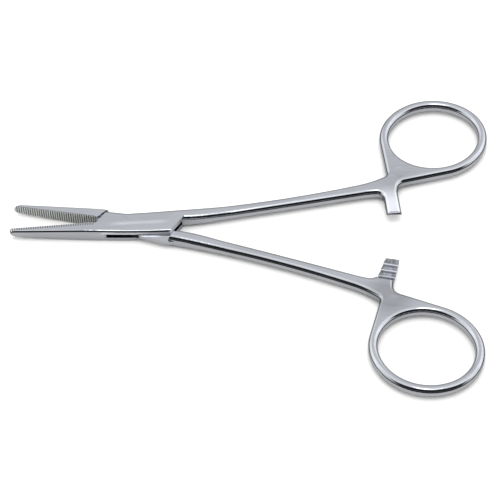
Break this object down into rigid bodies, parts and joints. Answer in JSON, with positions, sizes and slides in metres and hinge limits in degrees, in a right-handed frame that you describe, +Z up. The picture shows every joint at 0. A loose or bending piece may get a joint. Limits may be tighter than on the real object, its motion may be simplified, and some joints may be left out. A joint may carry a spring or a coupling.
{
  "type": "hemostat forceps",
  "caption": "Straight box-lock clamping forceps with cross-serrated jaws, ratchet tabs and oval finger rings, lying opened a little.",
  "frame": {"origin": "on the axis of the pivot pin, at the flat underside of the box lock", "axes": "+X along the instrument from the pivot to the finger rings, +Y to the arm that holds the box, +Z up along the pivot pin, out of the flat that the instrument lies on"},
  "size_m": [0.1209, 0.0964, 0.0039],
  "materials": {
    "arm_steel": "polished",
    "pin_steel": "polished"
  },
  "bodies": {
    "box_half": {"box_arm": "arm_steel", "pivot_pin": "pin_steel"},
    "tongue_half": {"tongue_arm": "arm_steel"}
  },
  "joints": [
    {"name": "box_lock_pivot", "type": "hinge", "parent": "box_half", "child": "tongue_half", "pos_m": [0, 0, 0.00195], "axis": [0, 0, -1], "range_deg": [-14.3, 30]}
  ]
}
